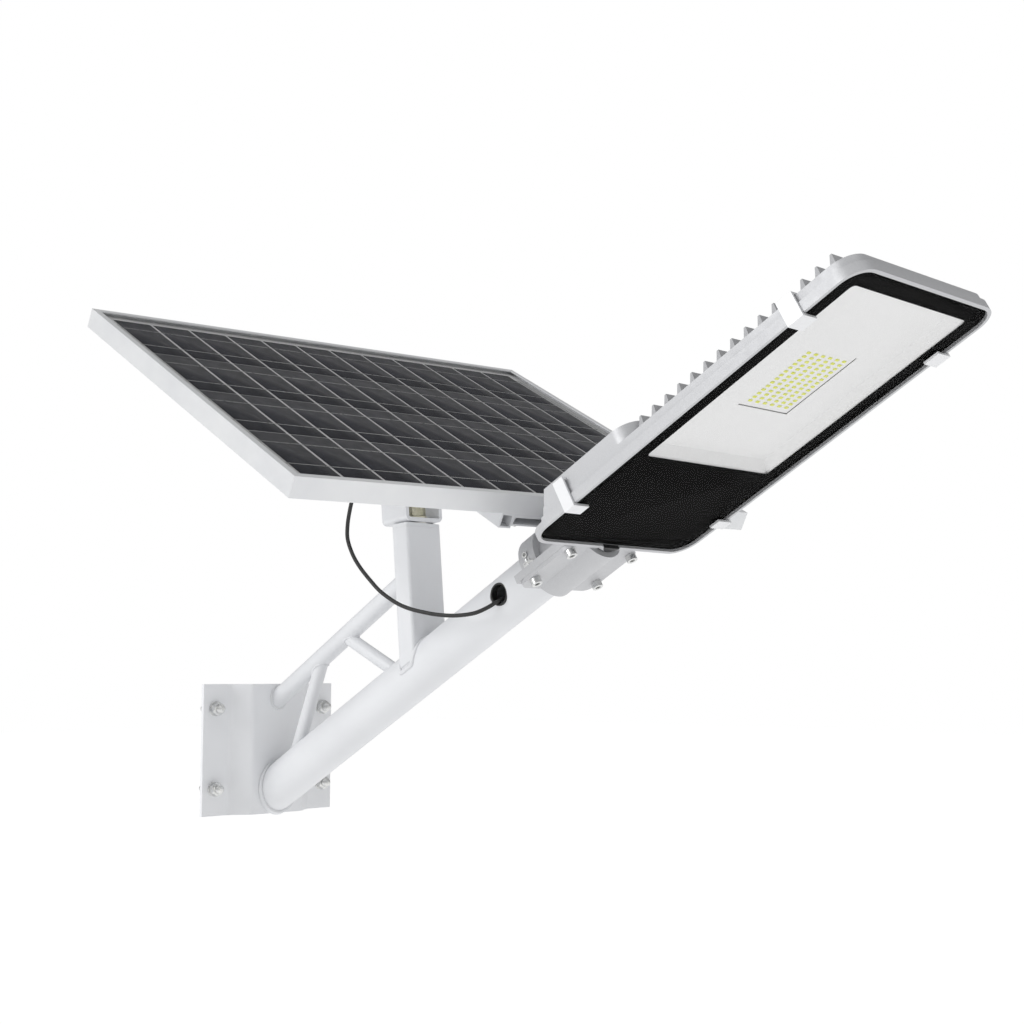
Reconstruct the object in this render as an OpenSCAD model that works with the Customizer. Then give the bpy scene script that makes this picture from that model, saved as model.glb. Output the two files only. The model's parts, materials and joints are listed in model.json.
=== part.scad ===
// Solar street lamp: a wall bracket that carries a tilting solar panel on a
// post and an LED lamp head clamped on the end of its arm.
// Millimetres. The origin is the centre of the wall bolt pattern, on the wall.
// +X points out of the wall, +Y along it, +Z up.

/* [Wall plate] */
// Width of the wall plate along the wall
plate_w = 224; // [210:1:240]
// Height of the wall plate
plate_h = 178; // [170:1:190]
// Depth of the folded web in front of the wall
plate_depth = 25; // [22:1:30]
// Sheet thickness of the wall plate
plate_t = 5; // [4:0.5:6]
// Distance between wall bolts along the wall
bolt_span_y = 186; // [180:1:190]
// Distance between wall bolts in height
bolt_span_z = 108; // [100:1:120]

/* [Bracket tubes] */
// Outer diameter of the arm
arm_d = 60; // [60:1:60]
// Angle of the arm above level
arm_tilt = 29; // [29:1:29]
// Length of the arm along its axis, from the wall
arm_len = 696; // [690:1:698]
// Width of the post along the wall
post_w = 60; // [60:1:60]
// Depth of the post away from the wall
post_l = 30; // [30:1:40]
// How far the post leans back towards the wall
post_lean = 5; // [4:0.5:6]
// Wall thickness of the arm and the post
tube_t = 2.5; // [2:0.5:3]
// Outer diameter of the brace
brace_d = 25; // [22:1:28]
// Outer diameter of the struts
strut_d = 18; // [16:1:20]

/* [Solar panel] */
// Length of the panel
panel_l = 700; // [680:5:700]
// Width of the panel along its slope
panel_w = 540; // [520:5:540]
// Depth of the panel frame
frame_h = 25; // [25:1:25]
// Number of cells along the panel
cell_cols = 12; // [10:1:12]
// Number of cells up the slope
cell_rows = 4; // [3:1:4]
// Slope of the panel on its saddle
panel_tilt = 33.5; // [30:0.5:33.5]
// Turn of the panel about the post
panel_turn = -6; // [-8:1:0]

/* [Lamp head] */
// Length of the lamp glass
glass_l = 472; // [472:1:472]
// Width of the lamp glass
glass_w = 266; // [266:1:266]
// Number of cooling fins
fin_count = 15; // [10:1:15]
// Rows of LEDs along the head
led_rows = 14; // [10:1:14]
// Columns of LEDs across the head
led_cols = 6; // [4:1:6]

/* [Hidden] */
$fn = 48;
eps = 0.05;
run_gap = 0.05;

// Wall plate
web_half = 44;
web_edge = 69;
plate_drop = 1.5;
hole_r = 5.5;
stud_r = 5;
thread_r = 4.6;
stud_back = 22;
stud_front = 24;
fold_shift = plate_t * tan(atan((plate_depth - plate_t) / (web_edge - web_half)) / 2);

// Arm, post and brace
arm_r = arm_d / 2;
arm_z = -69.5;
post_corner = 5;
post_foot = [303.6, 0, 300];
post_top = -11.5;
post_down = 250;
post_inner = [post_l - 2 * tube_t, post_w - 2 * tube_t];
cope_gap = 0.5;
brace_r = brace_d / 2;
brace_start = [plate_depth, 68];
brace_end = [301, 230.5];
strut_r = strut_d / 2;
strut_t = 1.5;
cable_hole_r = 14;
cable_hole_at = 550;

// Saddle and its swivel
cap_t = 5;
pad_t = 1.5 - run_gap;
saddle_base = -5;
saddle_t = 5;
saddle_back = -34;
saddle_front = 19;
saddle_w = 58;
saddle_bend = 7;
swivel_r = 8;
pivot_h = 80.5;
pivot_r = 6;
cheek_r = 19;
pad_r = 14.5;
m16 = [12, 10, 13, 3, 15];
m12 = [9.5, 7.5, 10, 2.5, 12];
m10 = [8.5, 7, 8, 2, 10];
m8 = [6.5, 8, 6.5, 0, 0];

// Panel, in its own frame: the pivot is the origin, X points down the slope
panel_top = 64;
panel_shift = -3;
frame_t = 2;
frame_lip = 9;
frame_foot = 20;
lip_t = 1.5;
glass_seat = 3.4;
sheet_gap = 0.3;
panel_glass_t = 3.2;
cell_t = 0.4;
backsheet_t = 0.5;
cell_gap = [2.5, 4.5];
cell_field = [500, 660];
rail_w = 120;
rail_h = 18;
rail_t = 2.5;
rail_tube_w = 18;
rail_tube_t = 2;
rail_slot_w = rail_w - 2 * rail_tube_w;
rail_bolt_r = 3;
rail_bolt_y = 30;
rail_bolt_in = 12;
end_channel_l = 22;
end_channel_h = 12;
end_channel_t = 2;
lug_t = 5;
lug_y = 18.5;
lug_r = 18;
box_at = [-55, -113];
box_size = [70, 90, 20];
gland_y = -105;
gland_l = 18;
frame_bottom = panel_top - frame_h;
rail_top = frame_bottom;
rail_under = rail_top - rail_t;
laminate_top = panel_top - lip_t - sheet_gap;

// Lamp head, in the arm's frame: X along the arm, Z square to the glass
glass_near = 708;
glass_mid = glass_near + glass_l / 2;
glass_t = 4;
glass_n = -30.3;
glass_corner = 25;
rim = 5;
rim_top = -18;
body_top = -8;
wall_t = 3;
box_top = 9;
box_end = 884;
box_corner = 26;
rear_x = 629;
box_rear_x = 651;
sill_n = -22;
collar_start = 608;
collar_rim_r = 43;
collar_rim_end = 634;
collar_r = 33.5;
clamp_end = 700;
clamp_w = 124;
bore_gap = 0.2;
clamp_n = -22;
clamp_y = 53.5;
clamp_t = [629, 690];
set_screw_t = 620;
fin_first = 892;
fin_pitch = 19;
fin_half = 131;
fin_tip = 8;
fin_slant = 9;
window = [288, 219];
window_mid = 1014;
led_mid = 1009;
led_pitch = [6.4, 13.3];
led_size = [3, 5.7, 0.8];
led_board = [101, 89, 1.6];
clip_t = [775, 1103];
clip_w = [15, 20];
clip_out = glass_w / 2 + rim + 0.3;
clip_sheet = 3;
clip_foot = 22;
clip_n = glass_n - 0.3;
clip_rear_head = 0;
clip_hook = 6;
clip_slot_gap = 0.2;
seat_n = glass_n + glass_t;
mask_t = 0.3;
gasket_t = 1.2;
ledge_n = seat_n + mask_t + gasket_t;

// Cable from the panel to the arm, Ø5 mm: the lower run and the panel's lead
cable_r = 2.5;
cable_sides = 10;
cable_route = [
    [307, -107, 333], [303, -107, 320], [297, -106, 305], [292, -105, 288],
    [291, -104, 270], [298, -102, 251], [308, -99, 235], [322, -94, 218],
    [340, -89, 201], [366, -80, 185], [398, -70, 176], [430, -60, 172],
    [458, -50, 174], [473, -40, 181], [480, -31, 188], [483, -22, 192], [484, -12, 194]
];
lead_route = [
    [323.5, -107, 386.5], [325.5, -107, 395], [326, -108, 404], [321, -108, 413],
    [314, -108, 418], [307, -107, 421]
];
connector_at = [308.4, -107, 337.4];
connector_lean = 17;
connector_mid = 26;
connector_l = 50;

// ---------- frames ----------

// The arm's frame: X along its axis from the wall, Z square to it
module on_arm() {
    translate([0, 0, arm_z]) rotate([0, -arm_tilt, 0]) children();
}

// The post's frame: Z along its axis, turned with the saddle or not
module on_post(turn = 0) {
    translate(post_foot) rotate([0, -post_lean, 0]) rotate([0, 0, turn]) children();
}

// The panel's frame: the pivot is the origin and X points down the slope
module on_panel() {
    on_post(panel_turn) translate([0, 0, pivot_h]) rotate([0, panel_tilt, 0]) children();
}

// ---------- shared shapes ----------

module ring(outer, inner, h) {
    difference() {
        cylinder(r = outer, h = h);
        translate([0, 0, -1]) cylinder(r = inner, h = h + 2);
    }
}

// A hexagon of half width across flats af, so a nut or a bolt head
module hex(af, h) {
    cylinder(r = af / cos(30), h = h, $fn = 6);
}

module hex_nut(af, bore, h) {
    difference() {
        hex(af, h);
        translate([0, 0, -1]) cylinder(r = bore, h = h + 2);
    }
}

// A rounded rectangle centred on the origin
module rounded(l, w, r) {
    square([l - 2 * r, w], center = true);
    square([l, w - 2 * r], center = true);
    for (x = [-1, 1], y = [-1, 1]) translate([x * (l / 2 - r), y * (w / 2 - r)]) circle(r = r);
}

// A rounded plate from height low to height high
module rounded_plate(l, w, r, low, high) {
    translate([0, 0, low]) linear_extrude(high - low) rounded(l, w, r);
}

// A solid bar between two points of the XZ plane
module bar(from, to, r) {
    run = to - from;
    translate([from[0], 0, from[1]])
        rotate([0, atan2(run[0], run[1]), 0]) cylinder(r = r, h = norm(run));
}

// The solid outline of the arm, used to cope the tubes that are welded to it
module arm_solid(extra = eps) {
    on_arm() rotate([0, 90, 0]) cylinder(r = arm_r + extra, h = arm_len);
}

module post_solid(extra = eps) {
    on_post() rounded_plate(post_l + 2 * extra, post_w + 2 * extra, post_corner, -post_down, 100);
}

module wall_side(x) {
    translate([x - 400, -400, -400]) cube([400, 800, 1200]);
}

function unit(v) = v / norm(v);

// Direction of a route at point i
function heading(route, i) =
    unit(route[min(i + 1, len(route) - 1)] - route[max(i - 1, 0)]);

// One ring of a tube, square to its heading
function tube_ring(centre, along, r, sides) =
    let (side = unit(cross(along, [-0.9, 1, 0.3])), up = cross(side, along))
    [for (k = [0:sides - 1]) let (a = 360 * k / sides) centre + r * (cos(a) * side + sin(a) * up)];

// A tube swept along a route as one closed polyhedron
module swept_tube(route, r, sides) {
    last = len(route) - 1;
    rings = [for (i = [0:last]) tube_ring(route[i], heading(route, i), r, sides)];
    points = [for (one = rings) for (p = one) p];
    walls = [for (i = [0:last - 1], k = [0:sides - 1], half = [0, 1])
        let (n = (k + 1) % sides, a = i * sides, b = (i + 1) * sides)
        half == 0 ? [a + k, a + n, b + n] : [a + k, b + n, b + k]];
    near_end = [[for (k = [0:sides - 1]) sides - 1 - k]];
    far_end = [[for (k = [0:sides - 1]) last * sides + k]];
    polyhedron(points, concat(walls, near_end, far_end));
}

// ---------- wall plate ----------

module at_wall_bolts() {
    for (y = [-1, 1], z = [-1, 1])
        translate([0, y * bolt_span_y / 2, z * bolt_span_z / 2]) rotate([0, 90, 0]) children();
}

module wall_plate() {
    half = plate_w / 2;
    flange_x = plate_t;
    profile = [
        [0, -half], [flange_x, -half], [flange_x, -web_edge], [plate_depth, -web_half],
        [plate_depth, web_half], [flange_x, web_edge], [flange_x, half], [0, half],
        [0, web_edge - fold_shift], [plate_depth - plate_t, web_half - fold_shift],
        [plate_depth - plate_t, -web_half + fold_shift], [0, -web_edge + fold_shift]
    ];
    color("gainsboro") difference() {
        translate([0, 0, -plate_h / 2 - plate_drop]) linear_extrude(plate_h) polygon(profile);
        at_wall_bolts() translate([0, 0, -1]) cylinder(r = hole_r, h = plate_t + 2);
    }
}

module wall_studs() {
    color("silver") at_wall_bolts() {
        translate([0, 0, -stud_back]) cylinder(r = stud_r, h = stud_back);
        cylinder(r = thread_r, h = stud_front);
    }
}

module wall_washers() {
    color("silver") at_wall_bolts() translate([0, 0, plate_t]) ring(m10[4], hole_r, m10[3]);
}

module wall_nuts() {
    color("silver") at_wall_bolts() translate([0, 0, plate_t + m10[3]])
        hex_nut(m10[0], thread_r + eps, m10[2]);
}

// ---------- bracket ----------

module arm_tube() {
    color("whitesmoke") difference() {
        on_arm() difference() {
            rotate([0, 90, 0]) cylinder(r = arm_r, h = arm_len);
            translate([-1, 0, 0]) rotate([0, 90, 0]) cylinder(r = arm_r - tube_t, h = arm_len + 2);
            translate([cable_hole_at, 0, 0]) rotate([90, 0, 0])
                cylinder(r = cable_hole_r, h = arm_r + 10);
        }
        wall_side(plate_depth);
    }
}

module arm_weld() {
    bead = 3;
    bead_l = 6;
    color("whitesmoke") difference() {
        on_arm() rotate([0, 90, 0]) cylinder(r = arm_r + bead, h = 120);
        arm_solid();
        wall_side(plate_depth);
        translate([plate_depth + bead_l, -100, -200]) cube([400, 200, 400]);
    }
}

module post_tube() {
    color("whitesmoke") difference() {
        on_post() rounded_plate(post_l, post_w, post_corner, -post_down, post_top);
        on_post() rounded_plate(post_inner[0], post_inner[1], post_corner - tube_t, -post_down - 1, 0);
        arm_solid(cope_gap);
        on_arm() translate([100, -100, -300]) cube([500, 200, 300]);
    }
}

module brace_tube() {
    color("whitesmoke") difference() {
        bar(brace_start - [40, 24], brace_end, brace_r);
        bar(brace_start - [50, 30], brace_end, brace_r - 2);
        wall_side(plate_depth);
        post_solid();
    }
}

// A strut between the brace and the arm
module strut(from, to) {
    color("whitesmoke") difference() {
        bar(from, to, strut_r);
        bar(from, to, strut_r - strut_t);
        arm_solid();
        bar(brace_start - [40, 24], brace_end, brace_r + eps);
    }
}

module upper_strut() {
    strut([170, 151], [275, 102]);
}

module lower_strut() {
    strut([119, 118], [65, -10]);
}

module post_cap() {
    color("whitesmoke") on_post() difference() {
        rounded_plate(post_l, post_w, post_corner, post_top, post_top + cap_t);
        translate([0, 0, post_top - 1]) cylinder(r = swivel_r + eps, h = cap_t + 2);
    }
}

module swivel_pad() {
    color("ivory") on_post() translate([0, 0, post_top + cap_t]) ring(pad_r, swivel_r + eps, pad_t);
}

module swivel_bolt() {
    color("darkkhaki") on_post() {
        translate([0, 0, post_top - m16[1]]) rotate([0, 0, 30]) hex(m16[0], m16[1]);
        translate([0, 0, post_top - 1]) cylinder(r = swivel_r, h = 33.5);
    }
}

module swivel_washer() {
    color("darkkhaki") on_post() translate([0, 0, run_gap]) ring(m16[4], swivel_r + eps, m16[3]);
}

module swivel_nut() {
    color("darkkhaki") on_post() translate([0, 0, run_gap + m16[3]])
        hex_nut(m16[0], swivel_r + eps, m16[2]);
}

module hole_grommet() {
    color("black") on_arm() translate([cable_hole_at, -20, 0]) rotate([90, 0, 0])
        ring(cable_hole_r - eps, 11.5, 9);
}

module cable() {
    color("black") swept_tube(cable_route, cable_r, cable_sides);
}

// ---------- saddle ----------

// A U with rounded lower corners, open at the top
module u_outline(w, h, r) {
    translate([-w / 2 + r, 0]) square([w - 2 * r, h]);
    translate([-w / 2, r]) square([w, h - r]);
    for (y = [-1, 1]) translate([y * (w / 2 - r), r]) circle(r = r);
}

// The side view of a cheek: its front edge is upright and its back edge slopes in
module cheek_outline() {
    polygon([[saddle_back, saddle_base], [saddle_front, saddle_base], [cheek_r, pivot_h],
        [-cheek_r, pivot_h], [saddle_back, saddle_base + 35]]);
    translate([0, pivot_h]) circle(r = cheek_r);
}

module saddle_yoke() {
    tall = pivot_h - saddle_base + cheek_r;
    color("whitesmoke") on_post(panel_turn) difference() {
        intersection() {
            translate([saddle_back, 0, saddle_base]) rotate([90, 0, 90])
                linear_extrude(saddle_front - saddle_back) difference() {
                    u_outline(saddle_w, tall, saddle_bend);
                    translate([0, saddle_t])
                        u_outline(saddle_w - 2 * saddle_t, tall, saddle_bend - saddle_t);
                }
            translate([0, saddle_w, 0]) rotate([90, 0, 0]) linear_extrude(2 * saddle_w) cheek_outline();
        }
        translate([0, 0, saddle_base - 1]) cylinder(r = swivel_r + run_gap, h = saddle_t + 2);
        translate([0, saddle_w, pivot_h]) rotate([90, 0, 0])
            cylinder(r = pivot_r + run_gap, h = 2 * saddle_w);
    }
}

// The pivot bolt lies along Y, with its head on the -Y side
module along_pivot(y) {
    on_post(panel_turn) translate([0, y, pivot_h]) rotate([-90, 0, 0]) children();
}

module pivot_bolt() {
    head_y = -saddle_w / 2 - m12[3] - m12[1];
    color("silver") {
        along_pivot(head_y) hex(m12[0], m12[1]);
        along_pivot(head_y + 1) cylinder(r = pivot_r, h = saddle_w + 23);
    }
}

module pivot_washers() {
    color("silver") {
        along_pivot(-saddle_w / 2 - m12[3]) ring(m12[4], pivot_r + eps, m12[3]);
        along_pivot(saddle_w / 2) ring(m12[4], pivot_r + eps, m12[3]);
    }
}

module pivot_nut() {
    color("silver") along_pivot(saddle_w / 2 + m12[3]) hex_nut(m12[0], pivot_r + eps, m12[2]);
}

// The in-line connector leans with the cable: the plug's half is below the socket's half
module on_connector(along) {
    translate(connector_at) rotate([0, connector_lean, 0]) translate([0, 0, along]) children();
}

module connector_plug() {
    color("black") on_connector(0) {
        cylinder(r = 6, h = 8);
        translate([0, 0, 7]) cylinder(r = 8.5, h = connector_mid - 7);
    }
}

module connector_socket() {
    color("black") on_connector(connector_mid) {
        cylinder(r = 9.5, h = 14);
        translate([0, 0, 13]) cylinder(r = 6, h = connector_l - connector_mid - 13);
    }
}

module panel_lead() {
    color("black") swept_tube(lead_route, cable_r, cable_sides);
}

// ---------- panel ----------

module pivot_lugs() {
    foot = 34;
    color("whitesmoke") on_panel() for (y = [-lug_y - lug_t, lug_y])
        translate([0, y + lug_t, 0]) rotate([90, 0, 0]) linear_extrude(lug_t) difference() {
            union() {
                circle(r = lug_r);
                polygon([[-lug_r, 0], [lug_r, 0], [foot, rail_under], [-foot, rail_under]]);
            }
            circle(r = pivot_r + run_gap);
        }
}

module pivot_spacer() {
    color("silver") on_panel() translate([0, -lug_y, 0]) rotate([-90, 0, 0])
        ring(pivot_r + 3, pivot_r + run_gap, 2 * lug_y);
}

module at_rail_bolts(z) {
    on_panel() for (side = [-1, 1], y = [-1, 1])
        translate([panel_shift + side * (panel_w / 2 - rail_bolt_in), y * rail_bolt_y, z]) children();
}

// The holes the rail bolts pass through
module rail_bolt_holes() {
    at_rail_bolts(rail_under - end_channel_h - 1) cylinder(r = rail_bolt_r + eps, h = 30);
}

// Two box tubes along the slope, joined by a plate at the top
module panel_rail() {
    color("whitesmoke") difference() {
        on_panel() translate([panel_shift - panel_w / 2, 0, rail_top - rail_h])
            rotate([90, 0, 90]) linear_extrude(panel_w) difference() {
                union() {
                    translate([-rail_slot_w / 2, rail_h - rail_t]) square([rail_slot_w, rail_t]);
                    for (y = [-rail_w / 2, rail_slot_w / 2]) translate([y, 0]) square([rail_tube_w, rail_h]);
                }
                for (y = [-rail_w / 2, rail_slot_w / 2]) translate([y + rail_tube_t, rail_tube_t])
                    square([rail_tube_w - 2 * rail_tube_t, rail_h - 2 * rail_tube_t]);
            }
        rail_bolt_holes();
    }
}

// A short channel between the tubes at each end; its open side faces outwards
module rail_end_channels() {
    inner_w = rail_slot_w - 2 * end_channel_t;
    color("whitesmoke") difference() {
        on_panel() for (side = [-1, 1])
            translate([panel_shift + side * panel_w / 2, 0, rail_under - end_channel_h])
                mirror([side > 0 ? 1 : 0, 0, 0]) difference() {
                    translate([0, -rail_slot_w / 2, 0])
                        cube([end_channel_l, rail_slot_w, end_channel_h]);
                    translate([-1, -inner_w / 2, end_channel_t])
                        cube([end_channel_l - 1, inner_w, end_channel_h - 2 * end_channel_t]);
                }
        rail_bolt_holes();
    }
}

module rail_bolts() {
    head_h = 4;
    color("silver") at_rail_bolts(rail_under - end_channel_h - head_h) {
        hex(5, head_h);
        cylinder(r = rail_bolt_r, h = head_h + end_channel_h + rail_t + frame_t + 4);
    }
}

// Section of the frame: outer wall, lip over the glass, seat and inner foot
module frame_section() {
    square([frame_t, frame_h]);
    square([frame_foot, frame_t]);
    translate([0, frame_h - lip_t]) square([frame_lip, lip_t]);
    translate([0, frame_h - lip_t - sheet_gap - glass_seat - 1.8 - lip_t]) square([frame_lip, lip_t]);
}

// One side of the frame, mitred at both ends, with its outer face at X = 0
module frame_side(l) {
    color("silver") intersection() {
        translate([0, l / 2, 0]) rotate([90, 0, 0]) linear_extrude(l) frame_section();
        translate([0, 0, -1]) linear_extrude(frame_h + 2)
            polygon([[0, -l / 2], [0, l / 2], [frame_foot, l / 2 - frame_foot],
                [frame_foot, -l / 2 + frame_foot]]);
    }
}

// Moves a frame side to its edge of the panel
module frame_place(turn, reach) {
    on_panel() translate([panel_shift, 0, frame_bottom]) rotate([0, 0, turn])
        translate([-reach, 0, 0]) children();
}

module frame_high() {
    difference() {
        frame_place(0, panel_w / 2) frame_side(panel_l);
        rail_bolt_holes();
    }
}

module frame_low() {
    difference() {
        frame_place(180, panel_w / 2) frame_side(panel_l);
        rail_bolt_holes();
    }
}

module frame_left() {
    frame_place(90, panel_l / 2) frame_side(panel_w);
}

module frame_right() {
    frame_place(-90, panel_l / 2) frame_side(panel_w);
}

module corner_keys() {
    leg = 30;
    thick = 3;
    color("silver") on_panel() for (x = [-1, 1], y = [-1, 1])
        translate([panel_shift + x * (panel_w / 2 - frame_t - eps), y * (panel_l / 2 - frame_t - eps),
            frame_bottom + frame_t + eps])
            mirror([x > 0 ? 1 : 0, 0, 0]) mirror([0, y > 0 ? 1 : 0, 0]) {
                cube([leg, thick, 12]);
                cube([thick, leg, 12]);
            }
}

// A flat sheet of the laminate: its size is the panel less an edge all round
module sheet(edge, top, thick) {
    on_panel() translate([panel_shift - panel_w / 2 + edge, -panel_l / 2 + edge, top - thick])
        cube([panel_w - 2 * edge, panel_l - 2 * edge, thick]);
}

module panel_glass() {
    color("midnightblue", 0.5) sheet(2.5, laminate_top, panel_glass_t);
}

module solar_cells() {
    pitch_x = cell_field[0] / cell_rows;
    pitch_y = cell_field[1] / cell_cols;
    top = laminate_top - panel_glass_t - 0.1;
    color("black") on_panel()
        for (i = [0:cell_rows - 1], j = [0:cell_cols - 1])
            translate([panel_shift - cell_field[0] / 2 + i * pitch_x + cell_gap[0] / 2,
                -cell_field[1] / 2 + j * pitch_y + cell_gap[1] / 2, top - cell_t])
                cube([pitch_x - cell_gap[0], pitch_y - cell_gap[1], cell_t]);
}

module panel_backsheet() {
    color("white") sheet(2.5, laminate_top - panel_glass_t - cell_t - 0.2, backsheet_t);
}

module junction_box() {
    top = laminate_top - panel_glass_t - cell_t - backsheet_t - 0.2;
    wall = 2.5;
    color("black") on_panel() translate([box_at[0], box_at[1], top]) difference() {
        translate([0, 0, -box_size[2]]) linear_extrude(box_size[2]) rounded(box_size[0], box_size[1], 6);
        translate([0, 0, -box_size[2] - 1]) linear_extrude(box_size[2] - 1)
            rounded(box_size[0] - 2 * wall, box_size[1] - 2 * wall, 4);
        translate([0, gland_y - box_at[1], -11]) rotate([0, 90, 0]) cylinder(r = 5, h = box_size[0]);
    }
}

module junction_lid() {
    low = laminate_top - panel_glass_t - cell_t - backsheet_t - 0.2 - box_size[2] - 2;
    color("black") on_panel() translate([box_at[0], box_at[1], low])
        linear_extrude(2) rounded(box_size[0], box_size[1], 6);
}

module cable_gland() {
    z = laminate_top - panel_glass_t - cell_t - backsheet_t - 0.2 - 11;
    color("black") on_panel() translate([box_at[0] + box_size[0] / 2, gland_y, z])
        rotate([0, 90, 0]) difference() {
            union() {
                translate([0, 0, -4]) cylinder(r = 5 - eps, h = 5);
                hex(8, 7);
                translate([0, 0, 6]) cylinder(r = 7, h = gland_l - 6);
            }
            translate([0, 0, -5]) cylinder(r = cable_r + 0.1, h = gland_l + 6);
        }
}

// ---------- lamp head ----------

// The plan of the housing, a rounded rectangle grown round the glass
module head_plan(grow, corner) {
    translate([glass_mid, 0]) rounded(glass_l + 2 * grow, glass_w + 2 * grow, corner);
}

module head_slab(grow, corner, low, high) {
    translate([0, 0, low]) linear_extrude(high - low) head_plan(grow, corner);
}

// The battery room's plan, shrunk by a wall on every side
module battery_plan(wall) {
    l = box_end - glass_near + 2 - 2 * wall;
    translate([(glass_near - 2 + box_end) / 2, 0])
        rounded(l, glass_w + 2 - 2 * wall, box_corner - wall);
}

// Cross ribs that taper towards their tips and whose ends slant inwards
module fins() {
    top_half = fin_half - fin_slant;
    intersection() {
        for (i = [0:fin_count - 1]) translate([fin_first + i * fin_pitch, fin_half, 0])
            rotate([90, 0, 0]) linear_extrude(2 * fin_half)
                polygon([[-4, body_top - 1], [4, body_top - 1], [1.2, fin_tip], [-1.2, fin_tip]]);
        translate([fin_first - 20, 0, 0]) rotate([90, 0, 90])
            linear_extrude(fin_count * fin_pitch + 20) polygon([[-fin_half, body_top - 2],
                [fin_half, body_top - 2], [top_half, fin_tip + 1], [-top_half, fin_tip + 1]]);
    }
}

// The upper half of the collar, from its rim to the housing, with two wings
module collar() {
    blend = [[collar_start, -40], [770, -40], [770, box_top - 2], [700, 60], [collar_start, 60]];
    translate([collar_start, 0, 0]) rotate([0, 90, 0])
        cylinder(r = collar_rim_r, h = collar_rim_end - collar_start);
    intersection() {
        translate([collar_start + 5, 0, 0]) rotate([0, 90, 0]) cylinder(r = collar_r, h = 155);
        translate([0, 60, 0]) rotate([90, 0, 0]) linear_extrude(120) polygon(blend);
    }
    translate([collar_start, -clamp_w / 2, clamp_n]) cube([710 - collar_start, clamp_w, 10]);
}

module head_housing() {
    color("silver") on_arm_head() difference() {
        union() {
            intersection() {
                head_slab(rim, 30, glass_n + 0.8, sill_n);
                front_of(rear_x);
            }
            intersection() {
                union() {
                    head_slab(rim, 30, sill_n - 1, rim_top);
                    head_slab(rim - 3, 27, rim_top - 1, body_top);
                    translate([0, 0, body_top - 1]) linear_extrude(box_top - body_top + 1) battery_plan(0);
                    fins();
                }
                front_of(box_rear_x);
            }
            collar();
        }
        translate([500, 0, 0]) rotate([0, 90, 0]) cylinder(r = arm_r + bore_gap, h = 202);
        translate([500, -150, -100]) cube([glass_near - 6 - 500, 300, 100 + clamp_n]);
        head_slab(0.5, glass_corner + 0.5, glass_n - 5, ledge_n);
        intersection() {
            union() {
                head_slab(-4, glass_corner - 2, ledge_n - 1, body_top - wall_t);
                translate([0, 0, ledge_n]) linear_extrude(box_top - wall_t - ledge_n)
                    battery_plan(wall_t + 2);
            }
            front_of(box_rear_x + wall_t);
        }
        for (t = clamp_t, y = [-clamp_y, clamp_y]) translate([t, y, clamp_n - 1])
            cylinder(r = 4.3, h = 20);
        for (y = [-1, 1]) translate([set_screw_t, 0, 11]) rotate([-y * 90, 0, 0]) cylinder(r = 4, h = 50);
        for (y = [-1, 1]) translate([clip_t[1] - 11.5, y * 135 - 17, body_top]) cube([23, 34, 30]);
        at_clip_screws() translate([0, 0, -10]) cylinder(r = 2.5 + eps, h = 12);
        clip_slots();
        translate([714, 0, glass_n - 5]) cylinder(r = 15.2, h = 9);
    }
}

module on_arm_head() {
    on_arm() children();
}

// Everything on the outer side of an upright plane, in the arm's frame
module front_of(x) {
    rotate([0, arm_tilt, 0]) translate([x, -400, -400 - arm_z]) cube([1200, 800, 1400]);
}

module clamp_cover() {
    color("silver") on_arm_head() difference() {
        union() {
            translate([(collar_start + clamp_end) / 2, 0, 0])
                rounded_plate(clamp_end - collar_start, clamp_w, 14, clamp_n - 5, clamp_n - 0.1);
            intersection() {
                translate([collar_start + 2, 0, 0]) rotate([0, 90, 0])
                    cylinder(r = 38, h = clamp_end - collar_start - 4);
                translate([collar_start, -60, -60])
                    cube([clamp_end - collar_start, 120, 60 + clamp_n - 0.1]);
            }
        }
        translate([560, 0, 0]) rotate([0, 90, 0]) cylinder(r = arm_r + bore_gap, h = 160);
        for (t = clamp_t, y = [-clamp_y, clamp_y]) translate([t, y, clamp_n - 10])
            cylinder(r = 4.3, h = 20);
    }
}

module at_clamp_bolts(n) {
    on_arm_head() for (t = clamp_t, y = [-clamp_y, clamp_y]) translate([t, y, n]) children();
}

module clamp_bolts() {
    low = clamp_n - 5 - m8[1];
    color("silver") at_clamp_bolts(low) difference() {
        union() {
            cylinder(r = m8[0], h = m8[1]);
            cylinder(r = 4, h = m8[1] + 26);
        }
        translate([0, 0, -1]) hex(3, 5);
    }
}

module clamp_nuts() {
    color("silver") at_clamp_bolts(clamp_n + 10) hex_nut(m8[0], 4 + eps, m8[2]);
}

module set_screws() {
    color("silver") on_arm_head() for (y = [-1, 1])
        translate([set_screw_t, y * 32, 11]) rotate([-y * 90, 0, 0]) difference() {
            cylinder(r = 3.9, h = 12);
            translate([0, 0, 8]) hex(2, 5);
        }
}

module front_glass() {
    color("lightblue", 0.3) on_arm_head() head_slab(0, glass_corner, glass_n, seat_n);
}

module window_hole(grow, low, high) {
    translate([window_mid, 0, low]) linear_extrude(high - low)
        rounded(window[0] + 2 * grow, window[1] + 2 * grow, 6);
}

module glass_mask() {
    color("black") on_arm_head() difference() {
        head_slab(0, glass_corner, seat_n, seat_n + mask_t);
        window_hole(0, seat_n - 1, seat_n + 2);
    }
}

module glass_gasket() {
    color("dimgray") on_arm_head() difference() {
        head_slab(0, glass_corner, seat_n + mask_t, ledge_n);
        head_slab(-9, glass_corner - 8, seat_n - 1, ledge_n + 1);
    }
}

// A tapered block whose base and top are centred rectangles
module taper(base, top, low, high) {
    hull() {
        translate([window_mid, 0, low]) linear_extrude(0.01) square(base, center = true);
        translate([window_mid, 0, high - 0.01]) linear_extrude(0.01) square(top, center = true);
    }
}

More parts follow.
